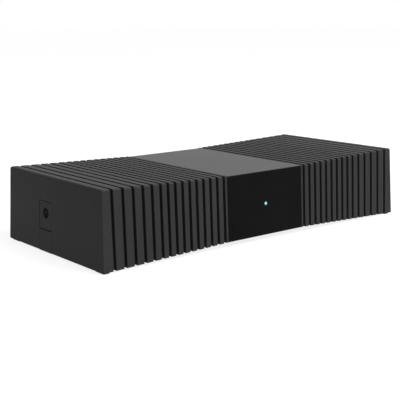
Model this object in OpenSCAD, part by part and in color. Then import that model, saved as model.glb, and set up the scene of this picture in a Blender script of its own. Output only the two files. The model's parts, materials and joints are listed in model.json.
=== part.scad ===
// Streaming media player: a waisted, ribbed desktop case around one circuit board.
// Millimetres, +Z up. The origin is on the surface it stands on, under the middle of the case.
// The front window faces -Y, the sockets face +Y, and the power inlet is in the -X end.

/* [Case] */
// Length of the top, end to end
top_w = 220; // [218:1:226]
// Depth of the top, front to back
top_d = 96.2; // [96:0.1:100]
// Height of each end, bottom edge to top edge
end_h = 42.3; // [41:0.1:46]
// How far each end face leans out at its foot
end_draft = 1.4; // [0.6:0.1:2]
// How far the front and the back lean out at their foot
side_draft = 1.8; // [0.8:0.1:2.4]
// How far the top sinks at the middle of the case
top_drop = 2.4; // [1:0.1:3]
// How far the underside rises at the middle of the case
bottom_rise = 2.7; // [1:0.1:4]
// Half width of the smooth middle of the case
centre_half = 28.7; // [28.6:0.1:29.2]
// Wall thickness behind the grooves
wall = 2.0; // [1.6:0.1:2.4]
// Radius along the top edge of each end
end_r = 1.5; // [1:0.1:2]
// Thickness of the end walls
end_wall = 3.0; // [2.4:0.1:3.4]
// Gap between covers that meet
seam = 0.15; // [0.1:0.05:0.25]

/* [Feet] */
// Height of the end's bottom edge above the table
foot_gap = 0.8; // [0.6:0.1:1.1]
// Width of a corner foot
foot_w = 3.8; // [3.2:0.1:4.2]
// Length of a corner foot, front to back
foot_d = 8.0; // [5:0.1:8.2]
// How far a foot is set in from the end
foot_end_inset = 1.1; // [1:0.1:1.8]
// How far a foot is set in from the front or the back
foot_side_inset = 1.5; // [1.3:0.1:1.8]

/* [Ribs] */
// Grooves in each wing
groove_count = 15; // [12:1:15]
// Width of a groove
groove_w = 1.8; // [1:0.05:2]
// Depth of a groove
groove_depth = 2.2; // [1.6:0.1:2.4]
// Middle of the groove nearest the centre
first_groove = 31.0; // [31:0.1:31.6]
// Spacing of the grooves near the centre
inner_pitch = 4.78; // [4.5:0.01:4.8]
// Number of equal spacings before the ribs start to widen
even_pitches = 9; // [7:1:9]
// Spacing of the first two widening grooves
outer_pitch = 5.45; // [5:0.01:5.5]
// How much each further spacing grows
pitch_growth = 0.3; // [0.2:0.01:0.32]
// Radius of the ribs' top corners, front and back
rib_r = 0.9; // [0.5:0.1:1.8]
// Radius of the ribs' bottom corners
rib_foot_r = 0.4; // [0.3:0.1:1]

/* [Window and panels] */
// Thickness of the front window
window_t = 2.0; // [1.6:0.1:2.2]
// Thickness of the top panel
panel_t = 1.8; // [1.4:0.1:2]
// Thickness of the top panel's lip over the window
lip_t = 0.4; // [0.4:0.1:0.8]
// Shadow gap between the lip and the window
lip_gap = 0.25; // [0.1:0.05:0.4]
// How far the socket panel is set back from the ribs
rear_recess = 2.2; // [1.6:0.1:2.2]
// Thickness of the base plate
base_t = 2.0; // [1.6:0.1:2.4]
// How far the base plate is set up inside the shell's rim
base_recess = 0.8; // [0.4:0.1:1.2]

/* [Power inlet] */
// Inlet hole's radius
inlet_r = 3.0; // [2.9:0.05:3.1]
// Inlet hole's place along Y
inlet_y = 7.5; // [6:0.1:8]
// Front edge of the inlet slot along Y
slot_y0 = 1.0; // [0:0.1:1.2]
// Back edge of the inlet slot along Y
slot_y1 = 14.5; // [14.3:0.1:15.5]
// Top of the base's tongue, which is the inlet plate's foot
plate_z0 = 12.8; // [11.8:0.1:13.2]
// Top of the inlet plate
plate_z1 = 29.0; // [28.6:0.1:30.6]

/* [Board and sockets] */
// Underside of the board above the table
board_z = 14.3; // [14.1:0.1:14.6]
// Thickness of the board
board_t = 1.6; // [1:0.2:1.6]
// Middle of the USB socket along X
usb_x = -18.9; // [-19.2:0.1:-18.6]
// Middle of the HDMI socket along X
hdmi_x = -2.7; // [-3:0.1:-2.5]
// Middle of the network socket along X
net_x = 14.7; // [14.5:0.1:14.9]
// Middle of the reset button along X
reset_x = 25.9; // [25.7:0.1:26.1]
// Travel of the reset button
reset_travel = 0.4; // [0.2:0.05:0.45]
// Radius of the status light's tip
light_r = 0.9; // [0.8:0.1:1.1]
// Height of the status light above the board
light_h = 5.9; // [5.5:0.1:6.5]

/* [Hidden] */
$fn = 48;

// Levels and half sizes worked out from the driving dimensions
rim_z = foot_gap;
roof_z = foot_gap + end_h;
top_half = top_w / 2;
rim_half = top_half + end_draft;
mid_roof_z = roof_z - top_drop;
mid_rim_z = rim_z + bottom_rise;
skin = groove_depth + wall;
board_top = board_z + board_t;
far = 200;
eps = 0.01;

// Half depth of the case at a height
function side_y(z) = top_d / 2 + side_draft * (roof_z - z) / end_h;
// Distance of an end face from the middle at a height
function end_x(z) = top_half + end_draft * (roof_z - z) / end_h;
// How far along a wing a place is, from 0 at the smooth middle to 1 at the end
function wing(x) = max(0, min(1, (abs(x) - centre_half) / (top_half - centre_half)));
// Top and bottom surface at a place along X
function top_z(x) = mid_roof_z + top_drop * wing(x);
function bottom_z(x) = mid_rim_z - bottom_rise * wing(x);
// Middle of groove number i, counted out from the centre
function groove_x(i) = first_groove + inner_pitch * min(i, even_pitches)
    + outer_pitch * max(0, i - even_pitches)
    + pitch_growth * max(0, i - even_pitches) * max(0, i - even_pitches - 1) / 2;
// Points on an arc
function arc(cx, cy, r, a0, a1) = [
    for (k = [0 : 5]) [cx + r * cos(a0 + (a1 - a0) * k / 5), cy + r * sin(a0 + (a1 - a0) * k / 5)]
];
// Front outline of the case, set in by side at the ends, lid at the top and lifted by sill
function front_outline(side, lid, sill, r) = concat(
    [[-rim_half + side, rim_z + sill], [-centre_half, mid_rim_z + sill]],
    [[centre_half, mid_rim_z + sill], [rim_half - side, rim_z + sill]],
    arc(top_half - side - r, roof_z - lid - r, r, 0, 90),
    [[centre_half, mid_roof_z - lid], [-centre_half, mid_roof_z - lid]],
    arc(-top_half + side + r, roof_z - lid - r, r, 90, 180)
);
// End outline of the case between two heights, with rounded corners
function end_outline(z0, z1) = concat(
    arc(side_y(z1) - rib_r, z1 - rib_r, rib_r, 0, 90),
    arc(-side_y(z1) + rib_r, z1 - rib_r, rib_r, 90, 180),
    arc(-side_y(z0) + rib_foot_r, z0 + rib_foot_r, rib_foot_r, 180, 270),
    arc(side_y(z0) - rib_foot_r, z0 + rib_foot_r, rib_foot_r, 270, 360)
);
// The same set in by side, without rounding
function end_plain(z0, z1, side) = [
    [side_y(z1) - side, z1], [-side_y(z1) + side, z1],
    [-side_y(z0) + side, z0], [side_y(z0) - side, z0]
];

// Extrudes a Y-Z outline along X
module along_x(x0, x1) {
    translate([x0, 0, 0]) rotate([90, 0, 90]) linear_extrude(x1 - x0) children();
}
// Extrudes an X-Z outline along Y
module along_y(y0, y1) {
    translate([0, y1, 0]) rotate([90, 0, 0]) linear_extrude(y1 - y0) children();
}
// A box from its two corners
module block(lo, hi) {
    translate(lo) cube(hi - lo);
}
// A round bar along Y, from y0 towards the back
module bar_y(x, y0, y1, z, r) {
    translate([x, y0, z]) rotate([-90, 0, 0]) cylinder(r = r, h = y1 - y0);
}
// A round bar along X
module bar_x(x0, x1, y, z, r) {
    translate([x0, y, z]) rotate([0, 90, 0]) cylinder(r = r, h = x1 - x0);
}
// The children at both signs of X and of Y
module four_corners(x, y) {
    for (sx = [-1, 1], sy = [-1, 1]) translate([sx * x, sy * y, 0]) children();
}

/* ---- Covers ---- */

// Screw posts of the shell and their pilot holes
post_x = 96;
post_y = 37;
post_r = 3.6;
pilot_r = 1.25;
pilot_depth = 11;
post_foot_z = 5.8;
// Opening in the shell behind the front window
view_half = 24;
view_z0 = 10.6;
view_z1 = 33.6;

// One rib, or the blocks at the middle and the ends, between two places on X
module rib(x0, x1) {
    z0 = min(bottom_z(x0), bottom_z(x1));
    z1 = max(top_z(x0), top_z(x1));
    along_x(x0, x1) polygon(end_outline(z0, z1));
}

// The ribs of one wing, on the +X side
module wing_ribs() {
    for (i = [0 : groove_count - 2]) {
        rib(groove_x(i) + groove_w / 2, groove_x(i + 1) - groove_w / 2);
    }
    rib(groove_x(groove_count - 1) + groove_w / 2, rim_half + 1);
}

// The shell's outside, ribs and all, as one solid
module ribbed_block() {
    intersection() {
        along_y(-far, far) polygon(front_outline(0, 0, 0, end_r));
        union() {
            intersection() {
                along_y(-far, far) polygon(front_outline(1, groove_depth, 0, end_r));
                along_x(-far, far) polygon(end_plain(0, roof_z, groove_depth));
            }
            wing_ribs();
            mirror([1, 0, 0]) wing_ribs();
            rib(-groove_x(0) + groove_w / 2, groove_x(0) - groove_w / 2);
        }
    }
}

// The hollow inside the shell; gap shrinks it for parts that fill it
module hollow(gap) {
    intersection() {
        along_y(-far, far) polygon(front_outline(end_wall + gap, skin + gap, -8, 1));
        along_x(-far, far) polygon(end_plain(-8, roof_z, skin + gap));
    }
}

// Solid corners of the shell, which hold the feet; gap grows them for the parts around them
module corner_blocks(gap) {
    x0 = foot_x - foot_w / 2 - foot_rim - gap;
    y0 = foot_y - foot_d / 2 - foot_rim - gap;
    for (mx = [0, 1], my = [0, 1]) mirror([mx, 0, 0]) mirror([0, my, 0]) {
        block([x0, y0, 0], [far, far, rim_z + foot_block_h + gap]);
    }
}

module top_shell() {
    panel_back = side_y(mid_roof_z);
    color([0.10, 0.10, 0.105]) difference() {
        union() {
            difference() {
                ribbed_block();
                hollow(0);
                // pocket of the top panel
                block([-centre_half, -far, mid_roof_z - panel_t], [centre_half, far, far]);
                // pocket of the front window, and the opening behind it
                along_x(-centre_half, centre_half) polygon([
                    [-side_y(0) + window_t, -1], [-side_y(roof_z) + window_t, roof_z + 1],
                    [-far, roof_z + 1], [-far, -1]
                ]);
                block([-view_half, -far, view_z0], [view_half, 0, view_z1]);
                // opening of the socket panel
                block([-centre_half, panel_back - skin, -1], [centre_half, far, mid_roof_z - panel_t]);
                block([-centre_half, panel_back - rear_recess, 0], [centre_half, far, far]);
                // slot of the power inlet
                block([-far, slot_y0, -1], [-top_half + end_wall + 2, slot_y1, plate_z1]);
            }
            intersection() {
                four_corners(post_x, post_y) translate([0, 0, post_foot_z]) cylinder(r = post_r, h = far);
                hollow(-eps);
            }
            intersection() {
                corner_blocks(0);
                hollow(-eps);
                along_y(-far, far) polygon(front_outline(0, 0, 0, end_r));
            }
        }
        four_corners(foot_x, foot_y) linear_extrude(rim_z + foot_seat) polygon(foot_outline(0.05));
        four_corners(post_x, post_y) cylinder(r = pilot_r, h = post_foot_z + pilot_depth);
    }
}

module top_panel() {
    x1 = centre_half - seam;
    back = side_y(mid_roof_z) - rear_recess;
    lip_y = -side_y(mid_roof_z) + window_t + seam;
    color([0.16, 0.16, 0.165]) along_x(-x1, x1) polygon([
        [-side_y(mid_roof_z), mid_roof_z - lip_t], [-side_y(mid_roof_z), mid_roof_z],
        [back, mid_roof_z], [back, mid_roof_z - panel_t + eps],
        [lip_y, mid_roof_z - panel_t + eps], [lip_y, mid_roof_z - lip_t]
    ]);
}

module front_window() {
    x1 = centre_half - seam;
    z1 = mid_roof_z - lip_t - lip_gap;
    inner = window_t - 0.05;
    edge_r = 0.5;
    color([0.015, 0.015, 0.017]) difference() {
        along_x(-x1, x1) polygon(concat(
            [[-side_y(z1) + inner, z1], [-side_y(z1), z1]],
            arc(-side_y(mid_rim_z) + edge_r, mid_rim_z + edge_r, edge_r, 180, 270),
            [[-side_y(mid_rim_z) + inner, mid_rim_z]]
        ));
        bar_y(0, -far, 0, board_top + light_h, light_r + 0.06);
    }
}

// Square cut-outs in the socket panel: [middle, width, bottom, height]
port_gap = 0.3;
// Ledge inside the socket panel: how far it stands in, and how far it stops short of top and bottom
ledge_t = 1.2;
ledge_side = 2;
ledge_low = 5;
ledge_high = 8;
function port_cutouts() = [
    [usb_x, usb_w, usb_z0, usb_h],
    [net_x, net_w, board_top, net_h]
];

module rear_port_panel() {
    x1 = centre_half - seam;
    z1 = mid_roof_z - panel_t - 0.1;
    outer = rear_recess;
    inner = skin - 0.02;
    ledge_in = skin + ledge_t;
    ledge_out = skin + 0.05;
    ledge_z0 = mid_rim_z + ledge_low;
    ledge_z1 = mid_roof_z - ledge_high;
    color([0.09, 0.09, 0.095]) difference() {
        union() {
            along_x(-x1, x1) polygon([
                [side_y(z1) - outer, z1], [side_y(z1) - inner, z1],
                [side_y(mid_rim_z) - inner, mid_rim_z], [side_y(mid_rim_z) - outer, mid_rim_z]
            ]);
            // ledge inside, which stops the panel from coming out backwards
            along_x(-centre_half - ledge_side, centre_half + ledge_side) polygon([
                [side_y(ledge_z1) - ledge_out, ledge_z1], [side_y(ledge_z1) - ledge_in, ledge_z1],
                [side_y(ledge_z0) - ledge_in, ledge_z0], [side_y(ledge_z0) - ledge_out, ledge_z0]
            ]);
            along_x(-x1, x1) polygon([
                [side_y(z1) - outer, ledge_z1], [side_y(z1) - ledge_in, ledge_z1],
                [side_y(z1) - ledge_in, ledge_z0], [side_y(z1) - outer, ledge_z0]
            ]);
        }
        for (port = port_cutouts()) {
            block(
                [port[0] - port[1] / 2 - port_gap, 0, port[2] - port_gap],
                [port[0] + port[1] / 2 + port_gap, far, port[2] + port[3] + port_gap]
            );
        }
        translate([hdmi_x, 0, hdmi_z0]) along_y(0, far) polygon(hdmi_outline(-port_gap));
        bar_y(reset_x, 0, far, reset_z, reset_r + 0.25);
    }
}

// Corner feet: places, corner radius, depth of their seats, and the solid corners around them
foot_x = rim_half - foot_end_inset - foot_w / 2;
foot_y = side_y(rim_z) - foot_side_inset - foot_d / 2;
foot_r = 0.8;
foot_seat = 0.8;
foot_rim = 1.2;
foot_block_h = 5;

// Base screws, vents, board posts and the tongue below the inlet
screw_seat_z = 2.3;
screw_head_r = 2.9;
screw_head_h = 1.5;
screw_hole_r = 1.7;
screw_rim = 1.7;
vent_count = 13;
vent_pitch = 6;
vent_w = 2.2;
vent_len = 24;
vent_y = 17;
board_posts = [[-78, 38], [-78, -38], [76, 36], [76, -38], [-40, 36], [40, -38]];
board_post_r = 3;
board_pilot_r = 1.0;
board_pilot_depth = 6;
tongue_gap = 0.12;
tongue_in = 2.4;

// A strip that follows the underside of the case, between two heights above it
function base_strip(lo, hi) = [
    [-rim_half, rim_z + lo], [-centre_half, mid_rim_z + lo], [centre_half, mid_rim_z + lo],
    [rim_half, rim_z + lo], [rim_half, rim_z + hi], [centre_half, mid_rim_z + hi],
    [-centre_half, mid_rim_z + hi], [-rim_half, rim_z + hi]
];

module base_cover() {
    color([0.08, 0.08, 0.085]) difference() {
        union() {
            intersection() {
                hollow(seam);
                along_y(-far, far) polygon(base_strip(base_recess, base_recess + base_t));
            }
            // tongue that closes the inlet slot
            intersection() {
                ribbed_block();
                block(
                    [-far, slot_y0 + tongue_gap, 0],
                    [-end_x(0) + end_wall + tongue_in, slot_y1 - tongue_gap, plate_z0]
                );
            }
            // board posts
            for (p = board_posts) {
                translate([p[0], p[1], bottom_z(p[0]) + base_recess + 1]) {
                    cylinder(r = board_post_r, h = board_z - bottom_z(p[0]) - base_recess - 1);
                }
            }
            // seats around the base screws
            four_corners(post_x, post_y) translate([0, 0, bottom_z(post_x) + base_recess]) {
                cylinder(
                    r = screw_head_r + screw_rim,
                    h = post_foot_z - 0.1 - bottom_z(post_x) - base_recess
                );
            }
        }
        corner_blocks(seam);
        for (p = board_posts) {
            translate([p[0], p[1], board_z - board_pilot_depth]) cylinder(r = board_pilot_r, h = far);
        }
        four_corners(post_x, post_y) {
            cylinder(r = screw_hole_r, h = far);
            cylinder(r = screw_head_r + 0.3, h = screw_seat_z + screw_head_h);
        }
        for (i = [0 : vent_count - 1], sy = [-1, 1]) {
            x = (i - (vent_count - 1) / 2) * vent_pitch;
            block(
                [x - vent_w / 2, sy * vent_y - vent_len / 2, 0],
                [x + vent_w / 2, sy * vent_y + vent_len / 2, mid_rim_z + base_recess + base_t + 1]
            );
        }
    }
}

// Outline of a foot with rounded corners, grown by a gap
function foot_outline(gap) = let (a = foot_w / 2 - foot_r, b = foot_d / 2 - foot_r, r = foot_r + gap) concat(
    arc(a, b, r, 0, 90), arc(-a, b, r, 90, 180), arc(-a, -b, r, 180, 270), arc(a, -b, r, 270, 360)
);

module foot(sx, sy) {
    color([0.05, 0.05, 0.05]) translate([sx * foot_x, sy * foot_y, 0]) {
        linear_extrude(rim_z + foot_seat) polygon(foot_outline(0));
    }
}

// A screw standing on the origin, head down, with a cross recess in its head
module screw(r, head_r, head_h, len) {
    difference() {
        union() {
            cylinder(r = head_r, h = head_h);
            cylinder(r = r, h = len);
        }
        for (a = [0, 90]) rotate([0, 0, a]) translate([0, 0, head_h / 4 - 1]) {
            cube([head_r * 1.1, head_r * 0.32, head_h / 2 + 2], center = true);
        }
    }
}

module base_screws() {
    color([0.35, 0.35, 0.36]) four_corners(post_x, post_y) translate([0, 0, screw_seat_z]) {
        screw(pilot_r - 0.05, screw_head_r, screw_head_h, 10);
    }
}

/* ---- Power inlet ---- */

plate_t = 1.6;
jack_w = 9;
jack_len = 14.2;
jack_h = 11;
jack_z = board_top + 6.5;
jack_x0 = -end_x(jack_z) + plate_t + 0.2;
jack_bore_r = 3.15;
jack_bore_len = 9.5;

module dc_inlet_plate() {
    nest_y = jack_w / 2 + 0.2;
    // gaps round the plate, the lower one the widest
    gap_front = 0.1;
    gap_back = 0.4;
    gap_low = 0.5;
    gap_high = 0.3;
    // flange behind the end wall
    flange_x = -top_half + end_wall + 0.1;
    flange_t = 1.3;
    color([0.10, 0.10, 0.105]) difference() {
        union() {
            intersection() {
                ribbed_block();
                block(
                    [-far, slot_y0 + gap_front, plate_z0 + gap_low],
                    [flange_x + flange_t / 2, slot_y1 - gap_back, plate_z1 - gap_high]
                );
            }
            block(
                [flange_x, slot_y0 - 1, plate_z0 + gap_low],
                [flange_x + flange_t, slot_y1 + 1, plate_z1 + 0.6]
            );
        }
        bar_x(-far, 0, inlet_y, jack_z, inlet_r);
        block(
            [-end_x(jack_z) + plate_t, inlet_y - nest_y, board_z - 0.1],
            [0, inlet_y + nest_y, board_top + jack_h + 0.2]
        );
    }
}

module dc_jack_body() {
    color([0.04, 0.04, 0.04]) difference() {
        block(
            [jack_x0, inlet_y - jack_w / 2, board_top],
            [jack_x0 + jack_len, inlet_y + jack_w / 2, board_top + jack_h]
        );
        bar_x(jack_x0 - 1, jack_x0 + jack_bore_len, inlet_y, jack_z, jack_bore_r);
        // channel of the side contact
        block(
            [jack_x0 + 2, inlet_y - 1, jack_z + 2], [jack_x0 + jack_len + 1, inlet_y + 1, jack_z + 3.6]
        );
        // way through for the pin's tail
        bar_x(jack_x0, jack_x0 + jack_len + 1, inlet_y, jack_z, 0.8);
    }
}

// Turned pin: round nose, shank and a thinner tail
module dc_jack_pin() {
    pin_r = 1.05;
    tail_r = 0.78;
    nose = 1.6;
    color([0.75, 0.73, 0.68]) translate([jack_x0, inlet_y, jack_z]) rotate([0, 90, 0]) {
        rotate_extrude() polygon(concat(
            arc(0, nose + pin_r, pin_r, 270, 360),
            [[pin_r, jack_bore_len - 0.01], [tail_r, jack_bore_len - 0.01]],
            [[tail_r, jack_len + 0.4], [0, jack_len + 0.4]]
        ));
    }
}

module dc_jack_spring() {
    // leaf that bears on the plug's barrel, dipping to its contact point
    color([0.8, 0.68, 0.4]) translate([0, inlet_y + 0.8, 0]) rotate([90, 0, 0]) linear_extrude(1.6) {
        x = jack_x0 + 2.4;
        z = jack_z + 3.2;
        polygon([
            [x, z], [x + 3.5, z - 0.55], [x + 11, z + 0.1], [x + 12.2, z + 0.1],
            [x + 12.2, z + 0.35], [x + 11, z + 0.35], [x + 3.5, z - 0.3], [x, z + 0.25]
        ]);
    }
}

/* ---- Board ---- */

board_x0 = -103.5;
board_x1 = 84;
board_y0 = -43.2;
board_y1 = 42.4;
notch_y = 31;
screw_r = 1.0;

module main_board() {
    color([0.03, 0.16, 0.10]) difference() {
        block([board_x0, board_y0, board_z], [board_x1, board_y1, board_top]);
        for (p = board_posts) {
            translate([p[0], p[1], board_z - 1]) cylinder(r = screw_r + 0.3, h = board_t + 2);
        }
        // corners cut away around the shell's posts
        for (sy = [-1, 1]) {
            block(
                [board_x0 - 1, min(sy * notch_y, sy * far), board_z - 1],
                [-post_x + post_r + 1.4, max(sy * notch_y, sy * far), board_top + 1]
            );
        }
    }
}

module board_screws() {
    color([0.6, 0.6, 0.62]) for (p = board_posts) {
        translate([p[0], p[1], board_top + 1.3]) rotate([180, 0, 0]) screw(screw_r, 2.2, 1.29, 6.6);
    }
}

// A chip package with a bevelled top edge and a pin 1 dimple
module chip(x, y, w, d, h) {
    bevel = 0.2;
    translate([x, y, board_top]) difference() {
        translate([-w / 2, -d / 2, 0]) cube([w, d, h]);
        translate([-w / 2 + 1.2, d / 2 - 1.2, h - 0.08]) cylinder(r = 0.4, h = 1);
        translate([-w / 2, -d / 2 - 1, h]) rotate([0, 45, 0]) cube([bevel, d + 2, bevel]);
    }
}

soc_x = -14;
soc_y = 1;
soc_w = 19;
soc_h = 1.3;
pad_h = 0.5;
sink_w = 40;
sink_d = 36;
sink_base_h = 3;
sink_h = 13;
sink_fins = 10;
sink_fin_t = 1.2;
sink_z = board_top + soc_h + pad_h;

module soc_chip() {
    color([0.06, 0.06, 0.065]) chip(soc_x, soc_y, soc_w, soc_w, soc_h);
}

module thermal_pad() {
    color([0.55, 0.6, 0.68]) translate([soc_x, soc_y, board_top + soc_h + pad_h / 2]) {
        cube([soc_w - 1, soc_w - 1, pad_h], center = true);
    }
}

// Push pins through two opposite corners of the heat sink
pin_dx = sink_w / 2 - 3;
pin_dy = sink_d / 2 - 3;

module heat_sink() {
    color([0.62, 0.63, 0.65]) difference() {
        translate([soc_x - sink_w / 2, soc_y - sink_d / 2, sink_z]) {
            cube([sink_w, sink_d, sink_base_h]);
            for (i = [0 : sink_fins - 1]) {
                translate([i * (sink_w - sink_fin_t) / (sink_fins - 1), 0, 0]) {
                    cube([sink_fin_t, sink_d, sink_h]);
                }
            }
        }
        for (s = [-1, 1]) translate([soc_x + s * pin_dx, soc_y + s * pin_dy, 0]) {
            cylinder(r = 1.6, h = 60);
            translate([0, 0, sink_z + sink_base_h]) cylinder(r = 3.6, h = 30);
        }
    }
}

module heat_sink_push_pins() {
    color([0.85, 0.85, 0.82]) for (s = [-1, 1]) {
        translate([soc_x + s * pin_dx, soc_y + s * pin_dy, board_top + 0.01]) {
            cylinder(r = 1.4, h = sink_z - board_top + 5);
            translate([0, 0, sink_z - board_top + 4]) cylinder(r = 2.6, h = 1.6);
        }
    }
}

module memory_chip(y) {
    color([0.06, 0.06, 0.065]) chip(-41, y, 9, 13.4, 1.1);
}

module flash_chip() {
    color([0.06, 0.06, 0.065]) chip(36, -10, 11.5, 13, 1.2);
}

module crystal() {
    color([0.75, 0.75, 0.77]) translate([28, 6, board_top]) {
        translate([-2.5, -1.6, 0]) cube([5, 3.2, 0.5]);
        translate([-2.3, -1.4, 0.4]) cube([4.6, 2.8, 0.9]);
    }
}

// Eight-lead regulator
module power_ic() {
    x = -66;
    y = -12;
    lead_pitch = 1.27;
    color([0.07, 0.07, 0.07]) {
        chip(x, y, 5, 4, 1.6);
        for (i = [0 : 3], s = [-1, 1]) {
            translate([x + (i - 1.5) * lead_pitch, y + s * 2.4, board_top + 0.15]) {
                cube([0.42, 1.3, 0.3], center = true);
            }
        }
    }
}

module power_inductor(y) {
    color([0.2, 0.2, 0.21]) translate([-78, y, board_top]) difference() {
        translate([-4, -4, 0]) cube([8, 8, 4.2]);
        translate([0, 0, 3.9]) difference() {
            cylinder(r = 3.4, h = 1);
            translate([0, 0, -1]) cylinder(r = 2.6, h = 3);
        }
    }
}

module capacitor(x) {
    can_r = 4;
    can_h = 11.5;
    neck = 0.35;
    color([0.12, 0.13, 0.18]) translate([x, 26, board_top]) rotate_extrude() polygon([
        [0, 0], [can_r, 0], [can_r, 1.6], [can_r - neck, 2.1], [can_r, 2.6],
        [can_r, can_h - 0.5], [can_r - 0.5, can_h], [0, can_h]
    ]);
}

/* ---- Sockets ---- */

// The sockets' mouths end just inside the socket panel's face
mouth_y = side_y(board_top + 6) - rear_recess - 0.2;
sheet = 0.3;
usb_w = 13.1;
usb_h = 5.7;
usb_len = 14;
usb_z0 = board_top + 0.2;
hdmi_w = 14.6;
hdmi_h = 5.15;
hdmi_len = 11.6;
hdmi_z0 = board_top + 0.4;
net_w = 16;
net_h = 13.4;
net_len = 16.4;

// HDMI outline: square shoulders above, sloped cheeks below, set in by a thickness
function hdmi_outline(t) = [
    [-hdmi_w / 2 + t, hdmi_h - t], [-hdmi_w / 2 + t, 1.7 + t * 0.3], [-hdmi_w / 2 + 1.9 + t * 0.7, t],
    [hdmi_w / 2 - 1.9 - t * 0.7, t], [hdmi_w / 2 - t, 1.7 + t * 0.3], [hdmi_w / 2 - t, hdmi_h - t]
];

module hdmi_shell() {
    color([0.62, 0.63, 0.64]) translate([hdmi_x, 0, hdmi_z0]) difference() {
        along_y(mouth_y - hdmi_len, mouth_y) polygon(hdmi_outline(0));
        along_y(mouth_y - hdmi_len + sheet, far) polygon(hdmi_outline(sheet));
        // spring windows in the roof
        for (s = [-1, 1]) {
            block([s * 3.4 - 0.9, mouth_y - 6, hdmi_h - 1], [s * 3.4 + 0.9, mouth_y - 2.6, hdmi_h + 1]);
        }
    }
}

hdmi_tongue_z = 2.35;
module hdmi_tongue() {
    back = mouth_y - hdmi_len + sheet + 0.02;
    color([0.03, 0.03, 0.03]) translate([hdmi_x, 0, hdmi_z0]) {
        along_y(back, back + 3) polygon(hdmi_outline(sheet + 0.05));
        block([-5.6, back, hdmi_tongue_z], [5.6, mouth_y - 1.3, hdmi_tongue_z + 1]);
    }
}

module hdmi_contacts() {
    back = mouth_y - hdmi_len + sheet + 3.05;
    half_w = 0.16;
    strip_t = 0.12;
    over = hdmi_tongue_z + 1.01;
    under = hdmi_tongue_z - 0.01 - strip_t;
    color([0.83, 0.69, 0.37]) translate([hdmi_x, 0, hdmi_z0]) {
        for (x = [-4.5 : 1 : 4.5]) {
            block([x - half_w, back, over], [x + half_w, mouth_y - 2, over + strip_t]);
        }
        for (x = [-4 : 1 : 4]) {
            block([x - half_w, back, under], [x + half_w, mouth_y - 2, under + strip_t]);
        }
    }
}

module usb_shell() {
    color([0.66, 0.67, 0.68]) translate([usb_x, 0, usb_z0]) difference() {
        block([-usb_w / 2, mouth_y - usb_len, 0], [usb_w / 2, mouth_y, usb_h]);
        block(
            [-usb_w / 2 + sheet, mouth_y - usb_len + sheet, sheet],
            [usb_w / 2 - sheet, far, usb_h - sheet]
        );
        // spring windows in the roof
        for (s = [-1, 1]) {
            block([s * 3 - 0.9, mouth_y - 7.5, usb_h - 1], [s * 3 + 0.9, mouth_y - 3, usb_h + 1]);
        }
    }
}

usb_tongue_z = 2.95;
module usb_tongue() {
    back = mouth_y - usb_len + sheet + 0.02;
    side = usb_w / 2 - sheet - 0.05;
    color([0.05, 0.05, 0.05]) translate([usb_x, 0, usb_z0]) {
        block([-side, back, sheet + 0.05], [side, back + 4.2, usb_h - sheet - 0.05]);
        block([-5.55, back, usb_tongue_z], [5.55, mouth_y - 1, usb_tongue_z + 1.84]);
    }
}

module usb_contacts() {
    back = mouth_y - usb_len + 4.6;
    color([0.83, 0.69, 0.37]) translate([usb_x, 0, usb_z0]) for (x = [-3.5, -1, 1, 3.5]) {
        block([x - 0.5, back, usb_tongue_z - 0.17], [x + 0.5, mouth_y - 2, usb_tongue_z - 0.01]);
    }
}

// Plug cavity of the network jack, with its stepped latch slot below
net_cav_w = 12;
net_cav_z0 = 4.2;
net_cav_h = 7.2;
net_cav_len = 13.2;
module network_jack() {
    w = net_w / 2 - sheet - 0.02;
    color([0.05, 0.05, 0.055]) translate([net_x, 0, board_top]) difference() {
        block([-w, mouth_y - net_len + sheet + 0.02, 0], [w, mouth_y - 0.1, net_h - sheet - 0.02]);
        block(
            [-net_cav_w / 2, mouth_y - net_cav_len, net_cav_z0], [net_cav_w / 2, far, net_cav_z0 + net_cav_h]
        );
        block([-3.2, mouth_y - 10, net_cav_z0 - 1.7], [3.2, far, net_cav_z0 + 1]);
        block([-2, mouth_y - 7, net_cav_z0 - 3], [2, far, net_cav_z0 + 1]);
        // room for the contact wires
        block(
            [-4.4, mouth_y - net_cav_len, net_cav_z0 + 1], [4.4, mouth_y - 2.2, net_cav_z0 + net_cav_h + 1]
        );
    }
}

module network_shield() {
    w = net_w / 2;
    color([0.68, 0.69, 0.7]) translate([net_x, 0, board_top]) difference() {
        block([-w, mouth_y - net_len, 0], [w, mouth_y, net_h]);
        block([-w + sheet, mouth_y - net_len + sheet, -1], [w - sheet, far, net_h - sheet]);
    }
}

net_wire_angle = 15;
net_wire_pitch = 1.02;
module network_contacts() {
    color([0.83, 0.69, 0.37]) for (i = [0 : 7]) translate([net_x + (i - 3.5) * net_wire_pitch, 0, 0]) {
        translate([0, mouth_y - 2.6, board_top + net_cav_z0 + net_cav_h + 0.5]) {
            rotate([net_wire_angle, 0, 0]) translate([-0.18, -8.6, -0.2]) cube([0.36, 8.4, 0.36]);
        }
    }
}

module network_transformer() {
    y = 17;
    lead_pitch = 1.0;
    color([0.07, 0.07, 0.07]) {
        chip(net_x, y, 13, 7.6, 5.2);
        for (i = [0 : 11], s = [-1, 1]) {
            translate([net_x + (i - 5.5) * lead_pitch, y + s * 4.3, board_top + 0.15]) {
                cube([0.4, 1.5, 0.3], center = true);
            }
        }
    }
}

/* ---- Radio ---- */

wifi_x = 58;
wifi_y = -14;
cable_r = 0.6;
cable_z = board_top + 3.8;
plug_dy = 5;

module wifi_module() {
    color([0.02, 0.1, 0.22]) translate([wifi_x, wifi_y, board_top]) {
        translate([-9, -7.5, 0]) cube([18, 15, 1]);
        for (s = [-1, 1]) translate([7.4, s * plug_dy, 0.9]) cylinder(r = 1.1, h = 0.9);
    }
}

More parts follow.
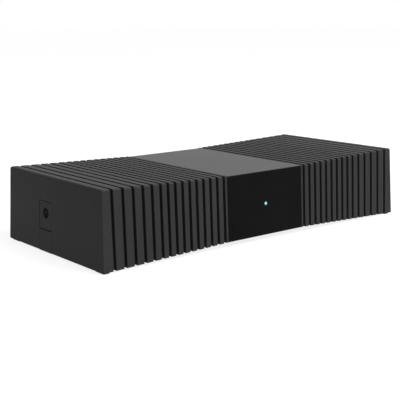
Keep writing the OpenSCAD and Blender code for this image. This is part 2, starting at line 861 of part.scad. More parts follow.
module wifi_shield() {
    color([0.7, 0.7, 0.72]) translate([wifi_x, wifi_y, board_top + 1.01]) difference() {
        translate([-8, -6.6, 0]) cube([13.4, 13.2, 1.8]);
        translate([-7.8, -6.4, -1]) cube([13, 12.8, 2.6]);
        for (i = [-2 : 2], j = [-2 : 2]) {
            translate([-1.3 + i * 2.2, j * 2.2, 0]) cylinder(r = 0.35, h = 4);
        }
    }
}

antenna_len = 30;
antenna_h = 9;
antenna_z = 19.6;
antenna_y = -22;
cable_end_y = -28;
antenna_wall = end_x(antenna_z + antenna_h) - end_wall - 1.0;

// A flexible printed antenna on a foam backing, stuck inside an end wall
module antenna(s) {
    color([0.42, 0.26, 0.09]) translate([s * antenna_wall, antenna_y, antenna_z + antenna_h / 2]) {
        cube([0.8, antenna_len, antenna_h], center = true);
        translate([s * 0.5, 0, 0]) cube([0.3, antenna_len - 4, antenna_h - 3], center = true);
    }
}

// A lead lying straight along X, then along Y, with a round bend, and a plug at its start
module lead(x0, y0, x1, y1) {
    sx = x1 > x0 ? 1 : -1;
    bend_r = 6;
    translate([x0, y0, board_top + 2]) cylinder(r = 1.3, h = cable_z + 0.9 - board_top - 2);
    bar_x(min(x0, x1 - sx * bend_r), max(x0, x1 - sx * bend_r), y0, cable_z, cable_r);
    translate([x1 - sx * bend_r, y0 - bend_r, cable_z]) rotate([0, 0, (sx > 0 ? 0 : 90) - 0.5]) {
        rotate_extrude(angle = 91) translate([bend_r, 0]) circle(r = cable_r - 0.02);
    }
    bar_y(x1, y1, y0 - bend_r, cable_z, cable_r);
}

module antenna_cable(s) {
    y0 = wifi_y + s * plug_dy;
    color([0.12, 0.12, 0.12]) lead(wifi_x + 7.4, y0, s * (antenna_wall - 2.2), cable_end_y);
}

/* ---- Front end of the board ---- */

ir_x = -10;
light_y = -40.6;

module ir_receiver() {
    lens_z = board_top + 6;
    face_y = -40.8;
    color([0.05, 0.04, 0.06]) {
        block([ir_x - 3, face_y, board_top + 3], [ir_x + 3, face_y + 2.8, board_top + 10]);
        translate([ir_x, face_y, lens_z]) sphere(r = 2.3);
        for (dx = [-2.54, 0, 2.54]) {
            block(
                [ir_x + dx - 0.25, face_y + 1.2, board_top],
                [ir_x + dx + 0.25, face_y + 1.6, board_top + 3.01]
            );
        }
    }
}

module status_led() {
    color([0.9, 0.9, 0.85]) translate([0, light_y, board_top]) {
        translate([-1.6, -1.4, 0]) cube([3.2, 2.8, 0.8]);
        translate([0, 0, 0.7]) cylinder(r = 1.1, h = 0.4);
    }
}

// Clear pipe: up from the light, mirrored at 45 degrees, then out through the window
module light_pipe() {
    z = board_top + light_h;
    color([0.6, 0.9, 0.92]) {
        bar_y(0, -side_y(z) + 0.02, light_y - 1, z, light_r);
        difference() {
            block([-1.6, light_y - 1.6, board_top + 1.2], [1.6, light_y + 1.6, z + 1.6]);
            translate([0, light_y + 1.6, z - 1.6]) rotate([45, 0, 0]) block([-3, 0, -1], [3, 6, 9]);
        }
    }
}

/* ---- Reset ---- */

reset_r = 1.3;
reset_z = board_top + 2.4;
reset_face_y = side_y(reset_z) - rear_recess - 0.7;
switch_y1 = reset_face_y - 4.3;
stem_r = 0.8;

module reset_switch() {
    color([0.55, 0.55, 0.56]) difference() {
        block([reset_x - 2.2, switch_y1 - 3.6, board_top], [reset_x + 2.2, switch_y1, board_top + 4]);
        bar_y(reset_x, switch_y1 - 2, far, reset_z, stem_r + 0.15);
        block([reset_x - 3, switch_y1 - 3, board_top + 3.7], [reset_x + 3, switch_y1 - 2.6, board_top + 5]);
    }
}

module reset_button() {
    shoulder_y = switch_y1 + reset_travel + 0.3;
    color([0.25, 0.25, 0.26]) difference() {
        union() {
            bar_y(reset_x, shoulder_y, reset_face_y, reset_z, reset_r);
            bar_y(reset_x, switch_y1 - 1.1, shoulder_y + 0.01, reset_z, stem_r);
        }
        translate([reset_x, reset_face_y + 2.6, reset_z]) sphere(r = 2.85);
    }
}

top_shell();
top_panel();
front_window();
rear_port_panel();
base_cover();
foot(-1, -1);  // foot_front_left
foot(1, -1);  // foot_front_right
foot(-1, 1);  // foot_rear_left
foot(1, 1);  // foot_rear_right
base_screws();
dc_inlet_plate();
dc_jack_body();
dc_jack_pin();
dc_jack_spring();
main_board();
board_screws();
soc_chip();
thermal_pad();
heat_sink();
heat_sink_push_pins();
memory_chip(-9);  // memory_chip_front
memory_chip(9);  // memory_chip_rear
flash_chip();
crystal();
power_ic();
power_inductor(-8);  // power_inductor_front
power_inductor(6);  // power_inductor_rear
capacitor(-84);  // capacitor_left
capacitor(-73);  // capacitor_middle
capacitor(-62);  // capacitor_right
hdmi_shell();
hdmi_tongue();
hdmi_contacts();
usb_shell();
usb_tongue();
usb_contacts();
network_jack();
network_shield();
network_contacts();
network_transformer();
wifi_module();
wifi_shield();
antenna(-1);  // antenna_left
antenna(1);  // antenna_right
antenna_cable(-1);  // antenna_cable_left
antenna_cable(1);  // antenna_cable_right
ir_receiver();
status_led();
light_pipe();
reset_switch();
reset_button();
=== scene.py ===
"""Looks of the streaming media player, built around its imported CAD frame. Blender 4.5, metres."""
import json
import math

import bmesh
import bpy
from mathutils import Matrix, Vector


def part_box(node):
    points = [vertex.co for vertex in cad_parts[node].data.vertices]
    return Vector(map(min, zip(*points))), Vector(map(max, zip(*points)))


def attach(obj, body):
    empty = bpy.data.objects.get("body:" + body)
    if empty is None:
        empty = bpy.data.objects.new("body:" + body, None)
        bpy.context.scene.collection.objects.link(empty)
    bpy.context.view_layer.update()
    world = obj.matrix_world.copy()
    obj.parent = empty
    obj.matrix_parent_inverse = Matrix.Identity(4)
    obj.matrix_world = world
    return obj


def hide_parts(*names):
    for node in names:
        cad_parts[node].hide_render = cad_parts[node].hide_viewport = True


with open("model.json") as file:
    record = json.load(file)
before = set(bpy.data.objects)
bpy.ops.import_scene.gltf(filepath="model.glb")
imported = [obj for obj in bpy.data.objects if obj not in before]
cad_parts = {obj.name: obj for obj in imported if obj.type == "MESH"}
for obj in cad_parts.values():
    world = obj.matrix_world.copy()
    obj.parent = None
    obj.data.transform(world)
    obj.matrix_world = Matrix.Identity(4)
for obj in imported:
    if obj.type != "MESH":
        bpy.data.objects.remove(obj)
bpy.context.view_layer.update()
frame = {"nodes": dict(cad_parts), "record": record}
MM = 0.001

# ---------------------------------------------------------------- case dimensions, in millimetres
TOP_HALF = 110.0        # half length of the top
TOP_D = 96.2            # depth of the top
END_DRAFT = 1.4         # how far an end leans out at its foot
SIDE_DRAFT = 1.8        # how far the front and back lean out at their foot
TOP_DROP = 2.4          # how far the top sinks at the middle
BOTTOM_RISE = 2.7       # how far the underside rises at the middle
CENTRE_HALF = 28.7      # half width of the smooth middle
WALL = 2.0              # wall behind the grooves
END_WALL = 3.0
GROOVES = 15            # grooves in each wing
GROOVE_W = 1.8
GROOVE_DEPTH = 2.2
FIRST_GROOVE = 31.0     # middle of the groove nearest the centre
INNER_PITCH = 4.78
EVEN_PITCHES = 9
OUTER_PITCH = 5.45
PITCH_GROWTH = 0.3
RIB_R = 0.9             # radius of the ribs' top corners, front and back
RIB_FOOT_R = 0.4        # radius of their bottom corners
RIB_FILLET = 0.14       # fillet along a rib's two edges
END_TOP_R = 1.5         # fillet along an end face's top edge
END_SIDE_R = 0.4        # fillet down its front and back edges
WINDOW_T = 2.0
PANEL_T = 1.8
REAR_RECESS = 2.2
POST_X, POST_Y, POST_R, PILOT_R = 96.0, 37.0, 3.6, 1.25
PILOT_DEPTH = 11.0
FOOT_RIM = 1.2          # solid corner round a foot
FOOT_BLOCK_H = 5.0
FAR = 200.0
BELOW = -2.0            # a height clear below the table, where cutters start
HOLLOW_REACH = 9.0      # how far the hollow's cutter reaches below the case
POST_TOP = 60.0         # a height clear above the roof

shell_lo, shell_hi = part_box("top_shell")
RIM_Z = shell_lo.z / MM
ROOF_Z = shell_hi.z / MM
END_H = ROOF_Z - RIM_Z
SKIN = GROOVE_DEPTH + WALL
POST_FOOT = RIM_Z + 5.0                                 # foot of the screw posts
VIEW_HALF, VIEW_Z0, VIEW_Z1 = 24.0, RIM_Z + 9.8, RIM_Z + 32.8
SLOT_Y0, SLOT_Y1, SLOT_TOP = 1.0, 14.5, RIM_Z + 28.2    # slot of the power inlet


def side_y(z):
    """Half depth of the case at a height."""
    return TOP_D / 2 + SIDE_DRAFT * (ROOF_Z - z) / END_H


def end_lean(z):
    """How far an end face stands out of the top's end at a height."""
    return END_DRAFT * (ROOF_Z - z) / END_H


def wing(x):
    """0 at the smooth middle, 1 at the end."""
    return max(0.0, min(1.0, (abs(x) - CENTRE_HALF) / (TOP_HALF - CENTRE_HALF)))


def top_z(x):
    return ROOF_Z - TOP_DROP * (1 - wing(x))


def bottom_z(x):
    return RIM_Z + BOTTOM_RISE * (1 - wing(x))


def groove_x(i):
    """Middle of groove i, counted out from the centre."""
    extra = max(0, i - EVEN_PITCHES)
    return (FIRST_GROOVE + INNER_PITCH * min(i, EVEN_PITCHES)
            + OUTER_PITCH * extra + PITCH_GROWTH * extra * (extra - 1) / 2)


# ---------------------------------------------------------------- mesh helpers

SHARP_ANGLE = 32        # edges that bend more than this, in degrees, stay sharp in shading
BEVEL_ANGLE = 25        # edges that bend more than this are rounded
BEVEL_SEGMENTS = 3
FLAT_ANGLE = 0.6        # faces that bend less than this are joined
WELD_GAP = 0.002 * MM


def new_object(name, bm):
    """A mesh object in metres from a bmesh in millimetres."""
    bmesh.ops.scale(bm, vec=(MM, MM, MM), verts=bm.verts)
    bmesh.ops.recalc_face_normals(bm, faces=bm.faces)
    mesh = bpy.data.meshes.new(name)
    bm.to_mesh(mesh)
    bm.free()
    obj = bpy.data.objects.new(name, mesh)
    bpy.context.scene.collection.objects.link(obj)
    return obj


def shade(obj):
    """Smooth shading with sharp edges kept, and flats that stay flat."""
    obj.data.shade_smooth()
    obj.data.set_sharp_from_angle(angle=math.radians(SHARP_ANGLE))
    normals = obj.modifiers.new("weighted_normals", "WEIGHTED_NORMAL")
    normals.keep_sharp = True
    normals.weight = 80


def loft(bm, loops):
    """Joins closed loops of equal length with quads, and caps both ends."""
    rings = [[bm.verts.new(p) for p in loop] for loop in loops]
    count = len(rings[0])
    for a, b in zip(rings, rings[1:]):
        for i in range(count):
            j = (i + 1) % count
            bm.faces.new((a[i], a[j], b[j], b[i]))
    bm.faces.new(rings[0])
    bm.faces.new(list(reversed(rings[-1])))


def box_mesh(name, lo, hi):
    bm = bmesh.new()
    bmesh.ops.create_cube(bm, size=1)
    size = [b - a for a, b in zip(lo, hi)]
    middle = [(a + b) / 2 for a, b in zip(lo, hi)]
    placed = Matrix.Translation(middle) @ Matrix.Diagonal((*size, 1))
    bmesh.ops.transform(bm, matrix=placed, verts=bm.verts)
    return new_object(name, bm)


def post_mesh(name, x, y, r, z0, z1):
    bm = bmesh.new()
    bmesh.ops.create_cone(bm, cap_ends=True, segments=32, radius1=r, radius2=r, depth=z1 - z0)
    bmesh.ops.translate(bm, vec=(x, y, (z0 + z1) / 2), verts=bm.verts)
    return new_object(name, bm)


def cut(target, cutters):
    """Cuts the cutters out of target's mesh and removes them."""
    for cutter in cutters:
        mod = target.modifiers.new("cut", "BOOLEAN")
        mod.object = cutter
        mod.operation = "DIFFERENCE"
        mod.solver = "EXACT"
    bpy.context.view_layer.update()
    graph = bpy.context.evaluated_depsgraph_get()
    mesh = bpy.data.meshes.new_from_object(target.evaluated_get(graph))
    target.modifiers.clear()
    target.data = mesh
    for cutter in cutters:
        bpy.data.objects.remove(cutter)


def refined(node, width):
    """A copy of a CAD node with its flats joined and its edges rounded by width millimetres."""
    bm = bmesh.new()
    bm.from_mesh(frame["nodes"][node].data)
    bmesh.ops.remove_doubles(bm, verts=bm.verts, dist=WELD_GAP)
    bmesh.ops.dissolve_limit(bm, angle_limit=math.radians(FLAT_ANGLE), verts=bm.verts, edges=bm.edges)
    if width:
        bend = math.radians(BEVEL_ANGLE)
        sharp = [e for e in bm.edges if len(e.link_faces) == 2 and e.calc_face_angle(0) > bend]
        bmesh.ops.bevel(bm, geom=sharp, offset=width * MM, segments=BEVEL_SEGMENTS, profile=0.5,
                        affect="EDGES", clamp_overlap=True, offset_type="OFFSET")
    bmesh.ops.recalc_face_normals(bm, faces=bm.faces)
    mesh = bpy.data.meshes.new(node)
    bm.to_mesh(mesh)
    bm.free()
    obj = bpy.data.objects.new(node + "_piece", mesh)
    bpy.context.scene.collection.objects.link(obj)
    shade(obj)
    return obj


# ---------------------------------------------------------------- materials

class Shader:
    """A Principled material with small helpers for procedural detail in object space."""

    def __init__(self, name, color, roughness, specular=0.5, metallic=0.0):
        self.material = bpy.data.materials.new(name)
        self.material.use_nodes = True
        self.tree = self.material.node_tree
        self.bsdf = self.tree.nodes["Principled BSDF"]
        self.bsdf.inputs["Base Color"].default_value = (*color, 1)
        self.bsdf.inputs["Roughness"].default_value = roughness
        self.bsdf.inputs["Specular IOR Level"].default_value = specular
        self.bsdf.inputs["Metallic"].default_value = metallic
        self.place = self.tree.nodes.new("ShaderNodeTexCoord").outputs["Object"]
        self.height = None

    def node(self, kind, **values):
        made = self.tree.nodes.new(kind)
        for key, value in values.items():
            if key in made.inputs:
                made.inputs[key].default_value = value
            else:
                setattr(made, key, value)
        return made

    def link(self, a, b):
        self.tree.links.new(a, b)

    def stretched(self, scale):
        """The place, stretched differently along each axis."""
        made = self.node("ShaderNodeMapping")
        made.inputs["Scale"].default_value = scale
        self.link(self.place, made.inputs["Vector"])
        return made.outputs["Vector"]

    def noise(self, scale, detail=3.0, roughness=0.55, vector=None):
        made = self.node("ShaderNodeTexNoise", Scale=scale, Detail=detail, Roughness=roughness)
        self.link(vector or self.place, made.inputs["Vector"])
        return made.outputs["Fac"]

    def cells(self, scale):
        made = self.node("ShaderNodeTexVoronoi", Scale=scale)
        self.link(self.place, made.inputs["Vector"])
        return made.outputs["Distance"]

    def remap(self, value, low, high, at_low=0.0, at_high=1.0):
        made = self.node("ShaderNodeMapRange")
        made.inputs["From Min"].default_value = low
        made.inputs["From Max"].default_value = high
        made.inputs["To Min"].default_value = at_low
        made.inputs["To Max"].default_value = at_high
        self.link(value, made.inputs["Value"])
        return made.outputs["Result"]

    def math(self, operation, a, b=None):
        made = self.node("ShaderNodeMath", operation=operation)
        for k, value in enumerate((a, b)):
            if value is None:
                continue
            if isinstance(value, (int, float)):
                made.inputs[k].default_value = value
            else:
                self.link(value, made.inputs[k])
        return made.outputs["Value"]

    def blend(self, fac, dark, light):
        """A colour between two others."""
        made = self.node("ShaderNodeMix", data_type="RGBA")
        self.link(fac, made.inputs["Factor"])
        for socket, tone in zip([k for k in made.inputs if k.type == "RGBA"], (dark, light)):
            if isinstance(tone, tuple):
                socket.default_value = (*tone, 1)
            else:
                self.link(tone, socket)
        return next(k for k in made.outputs if k.type == "RGBA")

    def color(self, fac, dark, light):
        self.link(self.blend(fac, dark, light), self.bsdf.inputs["Base Color"])

    def distance_from(self, point):
        away = self.node("ShaderNodeVectorMath", operation="DISTANCE")
        self.link(self.place, away.inputs[0])
        away.inputs[1].default_value = point
        return away.outputs["Value"]

    def glow(self, fac, edge, middle, strength):
        """Light given off, from one colour where fac is 0 to another where it is 1."""
        self.link(self.blend(fac, edge, middle), self.bsdf.inputs["Emission Color"])
        self.bsdf.inputs["Emission Strength"].default_value = strength

    def rough(self, fac, low, high):
        self.link(self.remap(fac, 0.25, 0.75, low, high), self.bsdf.inputs["Roughness"])

    def bump(self, height, strength, distance):
        made = self.node("ShaderNodeBump", Strength=strength, Distance=distance)
        self.link(height, made.inputs["Height"])
        if self.height:
            self.link(self.height, made.inputs["Normal"])
        self.height = made.outputs["Normal"]
        self.link(self.height, self.bsdf.inputs["Normal"])


def moulded_plastic(name, dark, light, rough_low, rough_high, grain, depth, specular=0.5):
    """Matt moulded plastic: fine spark-eroded grain, faint cloudiness in colour and sheen."""
    s = Shader(name, light, rough_high, specular)
    cloud = s.noise(35, 4)
    fine = s.noise(grain, 2, 0.6)
    s.color(s.remap(cloud, 0.3, 0.7), dark, light)
    s.rough(s.noise(grain * 0.18, 3), rough_low, rough_high)
    s.bump(fine, 0.35, depth)
    return s.material


ROLLING_DEPTH = 0.01 * MM   # depth of the lines in rolled metal


def metal(name, dark, light, rough_low, rough_high, scale=(60, 900, 900)):
    """Rolled sheet metal with fine lines along it and soft stains."""
    s = Shader(name, light, rough_high, 0.5, 1.0)
    lines = s.noise(1, 5, 0.6, s.stretched(scale))
    s.color(s.remap(s.noise(140, 4), 0.3, 0.7), dark, light)
    s.rough(lines, rough_low, rough_high)
    s.bump(lines, 0.25, ROLLING_DEPTH)
    return s.material


shell_plastic = moulded_plastic("shell_plastic", (0.0097, 0.0097, 0.0099), (0.0114, 0.0114, 0.0116),
                                0.44, 0.50, 5200, 0.00002, 0.05)
panel_plastic = moulded_plastic("panel_plastic", (0.0139, 0.0139, 0.0142), (0.0159, 0.0159, 0.0162),
                                0.40, 0.45, 6500, 0.00001, 0.12)
base_plastic = moulded_plastic("base_plastic", (0.0106, 0.0106, 0.0108), (0.0128, 0.0128, 0.0130),
                               0.46, 0.54, 3400, 0.00003, 0.05)
socket_panel_plastic = moulded_plastic("socket_panel_plastic", (0.0100, 0.0100, 0.0102),
                                       (0.0125, 0.0125, 0.0127), 0.40, 0.48, 4800, 0.00002, 0.1)
jack_plastic = moulded_plastic("jack_plastic", (0.020, 0.020, 0.0205), (0.026, 0.026, 0.0265),
                               0.38, 0.50, 6000, 0.00001)
foot_rubber = moulded_plastic("foot_rubber", (0.008, 0.008, 0.0085), (0.016, 0.016, 0.0165),
                              0.72, 0.86, 2600, 0.00005, 0.3)
button_plastic = moulded_plastic("button_plastic", (0.10, 0.10, 0.105), (0.13, 0.13, 0.135),
                                 0.36, 0.46, 5200, 0.00001)
chip_black = moulded_plastic("chip_black", (0.012, 0.012, 0.0125), (0.024, 0.024, 0.0245),
                             0.48, 0.62, 7000, 0.00002)
inductor_ferrite = moulded_plastic("inductor_ferrite", (0.045, 0.045, 0.047), (0.10, 0.10, 0.105),
                                   0.6, 0.78, 3200, 0.00006)
natural_nylon = moulded_plastic("natural_nylon", (0.66, 0.64, 0.56), (0.78, 0.76, 0.68),
                                0.36, 0.5, 2400, 0.00002)
thermal_rubber = moulded_plastic("thermal_rubber", (0.24, 0.29, 0.36), (0.34, 0.40, 0.48),
                                 0.7, 0.82, 1800, 0.00006)
cable_jacket = moulded_plastic("cable_jacket", (0.014, 0.014, 0.015), (0.024, 0.024, 0.025),
                               0.4, 0.52, 2500, 0.00002)
capacitor_sleeve = moulded_plastic("capacitor_sleeve", (0.012, 0.014, 0.045), (0.02, 0.024, 0.07),
                                   0.22, 0.34, 900, 0.00003)
receiver_epoxy = moulded_plastic("receiver_epoxy", (0.012, 0.005, 0.014), (0.022, 0.010, 0.024),
                                 0.12, 0.2, 1200, 0.00001)
led_white = moulded_plastic("led_white", (0.62, 0.62, 0.58), (0.75, 0.75, 0.70),
                            0.3, 0.42, 2500, 0.00001)
socket_metal = metal("socket_metal", (0.46, 0.46, 0.47), (0.62, 0.62, 0.63), 0.24, 0.40)
switch_metal = metal("switch_metal", (0.40, 0.40, 0.41), (0.55, 0.55, 0.56), 0.30, 0.42)
pin_metal = metal("pin_metal", (0.58, 0.56, 0.52), (0.74, 0.72, 0.68), 0.14, 0.26)
contact_gold = metal("contact_gold", (0.70, 0.50, 0.20), (0.88, 0.68, 0.32), 0.18, 0.30)
bright_steel = metal("bright_screw_steel", (0.50, 0.50, 0.51), (0.66, 0.66, 0.67), 0.24, 0.38)
sink_aluminium = metal("sink_aluminium", (0.50, 0.51, 0.53), (0.66, 0.67, 0.69),
                       0.30, 0.44, (700, 30, 700))


def black_screw():
    """Black-passivated steel, worn brighter in the drive recess's high spots."""
    s = Shader("screw_steel", (0.05, 0.05, 0.053), 0.38, 0.5, 0.85)
    s.color(s.remap(s.noise(900, 4), 0.42, 0.75), (0.03, 0.03, 0.032), (0.14, 0.14, 0.145))
    s.rough(s.noise(1500, 3), 0.30, 0.46)
    s.bump(s.noise(4000, 2), 0.3, 0.00001)
    return s.material


def window_plastic(light_at):
    """Dark window: soft gloss, with the status light's glow spreading in it round the light."""
    s = Shader("window_plastic", (0.0013, 0.0013, 0.0014), 0.24, 0.03)
    s.color(s.remap(s.noise(60, 3), 0.3, 0.7), (0.0011, 0.0011, 0.0012), (0.0015, 0.0015, 0.0016))
    s.rough(s.noise(420, 4), 0.27, 0.33)
    s.bump(s.noise(2600, 2), 0.10, 0.000005)
    near = s.remap(s.distance_from(light_at), 0.0009, 0.0026, 1.0, 0.0)
    s.glow(s.math("POWER", near, 2.2), (0.0, 0.0, 0.0), (0.0, 0.016, 0.019), 1.0)
    return s.material


def lit_pipe(light_at):
    """Clear acrylic pipe, lit from inside: near white in the middle, cyan at its edge."""
    s = Shader("clear_pipe", (0.05, 0.09, 0.09), 0.16, 0.3)
    near = s.remap(s.distance_from(light_at), 0.0, 0.0011, 1.0, 0.0)
    s.glow(near, (0.10, 0.30, 0.31), (0.62, 0.98, 1.0), 0.78)
    s.color(s.remap(s.noise(700, 3), 0.3, 0.7), (0.04, 0.08, 0.08), (0.06, 0.10, 0.10))
    s.bump(s.noise(1800, 2), 0.15, 0.00001)
    return s.material


def circuit_board():
    """Green solder mask with the relief of tracks and copper pours under it, and tinned vias."""
    s = Shader("circuit_board", (0.01, 0.075, 0.042), 0.3, 0.5)
    tracks = s.node("ShaderNodeTexBrick", Scale=160.0)
    tracks.inputs["Mortar Size"].default_value = 0.06
    tracks.inputs["Brick Width"].default_value = 2.6
    tracks.inputs["Row Height"].default_value = 0.16
    s.link(s.place, tracks.inputs["Vector"])
    pours = s.remap(s.noise(45, 2), 0.47, 0.50)
    relief = s.math("MULTIPLY", tracks.outputs["Fac"], pours)
    vias = s.remap(s.cells(420), 0.10, 0.14, 1.0, 0.0)
    green = s.blend(relief, (0.008, 0.055, 0.030), (0.014, 0.105, 0.058))
    s.color(s.math("MULTIPLY", vias, pours), green, (0.42, 0.40, 0.34))
    s.rough(s.noise(300, 3), 0.22, 0.36)
    s.bump(s.math("ADD", relief, vias), 0.4, 0.00003)
    return s.material


def radio_board():
    s = Shader("radio_board", (0.010, 0.035, 0.12), 0.3, 0.5)
    s.color(s.remap(s.cells(700), 0.1, 0.5), (0.008, 0.026, 0.085), (0.014, 0.048, 0.15))
    s.rough(s.noise(400, 3), 0.24, 0.36)
    s.bump(s.cells(900), 0.3, 0.00003)
    return s.material


def copper_film():
    """Amber film over a folded copper track."""
    s = Shader("copper_film", (0.40, 0.20, 0.07), 0.36, 0.5)
    folds = s.node("ShaderNodeTexWave", Scale=150.0)
    folds.wave_type = "BANDS"
    folds.bands_direction = "Y"
    s.link(s.place, folds.inputs["Vector"])
    s.color(s.remap(folds.outputs["Fac"], 0.45, 0.55), (0.26, 0.11, 0.03), (0.62, 0.30, 0.12))
    s.rough(s.noise(500, 3), 0.28, 0.42)
    s.bump(folds.outputs["Fac"], 0.3, 0.00004)
    return s.material


# ---------------------------------------------------------------- ribbed shell

ARC_STEPS = 6


def corner(y, z, r, start):
    """Points on a quarter arc."""
    return [
        (y + r * math.cos(math.radians(start + 90 * k / ARC_STEPS)),
         z + r * math.sin(math.radians(start + 90 * k / ARC_STEPS)))
        for k in range(ARC_STEPS + 1)
    ]


def case_loop(x, front, top, back, lift, lean=0.0):
    """The case's closed Y-Z outline at x, set in at the front, top and back, and lifted below."""
    high = top_z(x) - top
    low = bottom_z(x) + lift
    r_front = max(0.35, RIB_R - max(front, top))
    r_back = max(0.35, RIB_R - max(back, top))
    points = (
        corner(side_y(high) - back - r_back, high - r_back, r_back, 0)
        + corner(-side_y(high) + front + r_front, high - r_front, r_front, 90)
        + corner(-side_y(low) + front + RIB_FOOT_R, low + RIB_FOOT_R, RIB_FOOT_R, 180)
        + corner(side_y(low) - back - RIB_FOOT_R, low + RIB_FOOT_R, RIB_FOOT_R, 270)
    )
    return [(x + lean * end_lean(z), y, z) for y, z in points]


def rib_edge(x, direction):
    """Slices from a groove's wall over a filleted edge onto the rib; direction is +1 into the rib."""
    steps = 4
    made = [case_loop(x, GROOVE_DEPTH, GROOVE_DEPTH, GROOVE_DEPTH, RIB_FILLET)]
    for k in range(steps + 1):
        a = math.radians(90 * k / steps)
        inset = RIB_FILLET * (1 - math.sin(a))
        along = RIB_FILLET * (1 - math.cos(a))
        made.append(case_loop(x + direction * along, inset, inset, inset, inset))
    return made


def fillet_inset(reach, r):
    """How far a fillet of radius r sets a surface in, at a distance short of the end face."""
    return r - math.sqrt(max(0.0, r * r - max(0.0, r - reach) ** 2))


def end_cap_slices():
    """Slices over the rounded edges of the +X end face: wide along the top, tight down the sides."""
    steps = 9
    made = []
    for k in range(steps + 1):
        reach = END_TOP_R * (1 - math.sin(math.radians(90 * k / steps)))
        top = fillet_inset(reach, END_TOP_R)
        side = fillet_inset(reach, END_SIDE_R)
        made.append(case_loop(TOP_HALF - reach, side, top, side, min(side, RIB_FILLET), 1.0))
    return made


def wing_slices():
    """All slices of the +X wing, from the middle out."""
    slices = []
    inner_wall = rib_edge(CENTRE_HALF, 1)
    inner_wall[0] = case_loop(CENTRE_HALF, WINDOW_T, PANEL_T, REAR_RECESS, 0)
    slices += inner_wall
    for i in range(GROOVES):
        slices += list(reversed(rib_edge(groove_x(i) - GROOVE_W / 2, -1)))
        slices += rib_edge(groove_x(i) + GROOVE_W / 2, 1)
    slices += end_cap_slices()
    return slices


def mirrored(slices):
    """The same slices on the -X side, in order of rising X."""
    return [[(-x, y, z) for x, y, z in loop] for loop in reversed(slices)]


FEET = [f"foot_{end}_{side}" for end in ("front", "rear") for side in ("left", "right")]


def foot_box(node, grow):
    """A foot's corners in millimetres, grown by a gap along X and Y."""
    lo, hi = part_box(node)
    return [lo.x / MM - grow, lo.y / MM - grow, lo.z / MM], [hi.x / MM + grow, hi.y / MM + grow, hi.z / MM]


def corner_blocks():
    """The solid corners left standing in the hollow to hold the feet."""
    blocks = []
    for node in FEET:
        lo, hi = foot_box(node, FOOT_RIM)
        for axis in (0, 1):
            if lo[axis] < 0:
                lo[axis] = -FAR
            else:
                hi[axis] = FAR
        block_top = (hi[0], hi[1], RIM_Z + FOOT_BLOCK_H)
        blocks.append(box_mesh("corner_block", (lo[0], lo[1], -FAR), block_top))
    return blocks


def foot_seats():
    """Cutters for the shallow seats of the feet."""
    return [box_mesh("seat", *foot_box(node, 0.05)) for node in FEET]


def hollow_mesh():
    """The space inside the shell, with the screw posts left standing in it."""
    ends = TOP_HALF - END_WALL

    def outline(x, lean):
        high, low = top_z(x) - SKIN, bottom_z(x) - HOLLOW_REACH
        corners = [(side_y(high) - SKIN, high), (-side_y(high) + SKIN, high),
                   (-side_y(low) + SKIN, low), (side_y(low) - SKIN, low)]
        return [(x + math.copysign(lean * end_lean(z), x), y, z) for y, z in corners]

    bm = bmesh.new()
    loft(bm, [outline(-ends, 1), outline(-CENTRE_HALF, 0), outline(CENTRE_HALF, 0), outline(ends, 1)])
    hollow = new_object("hollow", bm)
    corners = [(sx * POST_X, sy * POST_Y) for sx in (-1, 1) for sy in (-1, 1)]
    posts = [post_mesh("post", x, y, POST_R, POST_FOOT, POST_TOP) for x, y in corners]
    cut(hollow, posts + corner_blocks())
    pilot_top = POST_FOOT + PILOT_DEPTH
    pilots = [post_mesh("pilot", x, y, PILOT_R, POST_FOOT - 1, pilot_top) for x, y in corners]
    return hollow, pilots


def ribbed_shell():
    right = wing_slices()
    bm = bmesh.new()
    loft(bm, mirrored(right) + right)
    shell = new_object("ribbed_shell", bm)
    mid_roof = ROOF_Z - TOP_DROP
    slot = box_mesh("slot", (-FAR, SLOT_Y0, BELOW), (-TOP_HALF + END_WALL + 2, SLOT_Y1, SLOT_TOP))
    view = box_mesh("view", (-VIEW_HALF, -FAR, VIEW_Z0), (VIEW_HALF, 0, VIEW_Z1))
    rear_half = CENTRE_HALF - 0.001
    rear_lo = (-rear_half, side_y(mid_roof) - SKIN, BELOW)
    rear = box_mesh("rear", rear_lo, (rear_half, FAR, mid_roof - PANEL_T))
    hollow, pilots = hollow_mesh()
    cut(shell, [hollow, view, rear, slot] + pilots + foot_seats())
    shade(shell)
    return shell


# ---------------------------------------------------------------- pieces

pipe_lo, pipe_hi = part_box("light_pipe")
PIPE_HEAD = 1.6 * MM    # height of the pipe's head above its middle
light_at = Vector((0, pipe_lo.y, pipe_hi.z - PIPE_HEAD))

# Each material slot's material, and how far its pieces' edges are rounded in millimetres
LOOKS = {
    "shell_plastic": (shell_plastic, 0.12),
    "panel_plastic": (panel_plastic, 0.22),
    "window_plastic": (window_plastic(light_at), 0.25),
    "clear_pipe": (lit_pipe(light_at), 0.12),
    "socket_panel_plastic": (socket_panel_plastic, 0.18),
    "base_plastic": (base_plastic, 0.22),
    "foot_rubber": (foot_rubber, 0.3),
    "screw_steel": (black_screw(), 0.12),
    "bright_screw_steel": (bright_steel, 0.1),
    "jack_plastic": (jack_plastic, 0.1),
    "socket_metal": (socket_metal, 0.06),
    "contact_gold": (contact_gold, 0.02),
    "pin_metal": (pin_metal, 0.05),
    "circuit_board": (circuit_board(), 0.08),
    "chip_black": (chip_black, 0.06),
    "thermal_rubber": (thermal_rubber, 0.08),
    "sink_aluminium": (sink_aluminium, 0.12),
    "natural_nylon": (natural_nylon, 0.15),
    "inductor_ferrite": (inductor_ferrite, 0.3),
    "capacitor_sleeve": (capacitor_sleeve, 0.1),
    "radio_board": (radio_board(), 0.06),
    "copper_film": (copper_film(), 0.03),
    "cable_jacket": (cable_jacket, 0),
    "receiver_epoxy": (receiver_epoxy, 0.2),
    "led_white": (led_white, 0.1),
    "switch_metal": (switch_metal, 0.1),
    "button_plastic": (button_plastic, 0.15),
}


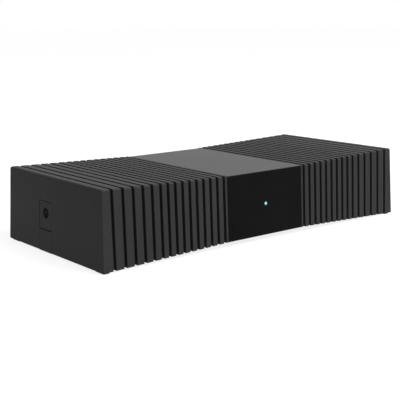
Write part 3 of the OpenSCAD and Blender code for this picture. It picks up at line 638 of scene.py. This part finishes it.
def build_pieces():
    """One visual piece for every CAD node: the shell lofted anew, the rest refined."""
    record = frame["record"]
    body_of = {n: body for body, nodes in record["behaviour"]["bodies"].items() for n in nodes}
    for row in record["subparts"]:
        node, slot = row["node"], row["material_slot"]
        material, edge = LOOKS[slot]
        piece = ribbed_shell() if node == "top_shell" else refined(node, edge)
        piece.data.materials.clear()
        piece.data.materials.append(material)
        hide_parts(node)
        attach(piece, body_of[node])


build_pieces()

# ---------------------------------------------------------------- floor, lights and camera


def floor():
    """A pale light table that reaches past every view."""
    bm = bmesh.new()
    bmesh.ops.create_circle(bm, cap_ends=True, segments=96, radius=12000)
    obj = new_object("floor", bm)
    s = Shader("floor_table", (0.12, 0.12, 0.12), 0.8, 0.1)
    s.color(s.remap(s.noise(3, 2), 0.3, 0.7), (0.118, 0.118, 0.118), (0.122, 0.122, 0.122))
    s.bsdf.inputs["Emission Color"].default_value = (1, 1, 1, 1)
    s.bsdf.inputs["Emission Strength"].default_value = 0.82
    obj.data.materials.append(s.material)


def softbox(name, place, target, size, power, mirrored_in=True):
    """A soft area light; mirrored_in says whether glossy surfaces show it."""
    data = bpy.data.lights.new(name, "AREA")
    data.shape = "RECTANGLE"
    data.size, data.size_y = size
    data.energy = power
    lamp = bpy.data.objects.new(name, data)
    lamp.location = place
    lamp.rotation_mode = "QUATERNION"
    lamp.rotation_quaternion = (Vector(target) - Vector(place)).to_track_quat("-Z", "Y")
    lamp.visible_glossy = mirrored_in
    bpy.context.scene.collection.objects.link(lamp)


def studio():
    world = bpy.data.worlds.new("studio")
    world.use_nodes = True
    background = world.node_tree.nodes["Background"]
    background.inputs["Color"].default_value = (1, 1, 1, 1)
    background.inputs["Strength"].default_value = 1.0
    bpy.context.scene.world = world
    softbox("key", (0.5, -0.9, 1.05), (0, 0, 0.02), (1.0, 1.0), 62)
    softbox("fill", (-0.42, -1.22, 0.3), (0, 0, 0.02), (0.6, 0.6), 12, False)
    bpy.context.scene.view_settings.view_transform = "Standard"


AZIMUTH, ELEVATION, ROLL = (math.radians(a) for a in (-38.989, 11.55, 0.337))
DISTANCE = 0.5487                   # from the camera to its aim
LENS = 79.82
AIM_LEFT, AIM_UP = 0.00686, 0.015055


def camera():
    """The photograph's viewpoint: a long lens, low on the left of the front."""
    flat = math.cos(ELEVATION)
    back = Vector((math.sin(AZIMUTH) * flat, -math.cos(AZIMUTH) * flat, math.sin(ELEVATION)))
    right = back.cross(Vector((0, 0, -1))).normalized()
    up = back.cross(right)
    aim = Vector((0, 0, RIM_Z * MM)) - AIM_LEFT * right + AIM_UP * up
    data = bpy.data.cameras.new("camera")
    data.sensor_width = 36
    data.lens = LENS
    eye = bpy.data.objects.new("camera", data)
    turned_right = right * math.cos(ROLL) - up * math.sin(ROLL)
    turned_up = right * math.sin(ROLL) + up * math.cos(ROLL)
    axes = Matrix((turned_right, turned_up, back)).transposed()
    eye.matrix_world = Matrix.Translation(aim + back * DISTANCE) @ axes.to_4x4()
    bpy.context.scene.collection.objects.link(eye)
    bpy.context.scene.camera = eye


floor()
studio()
camera()
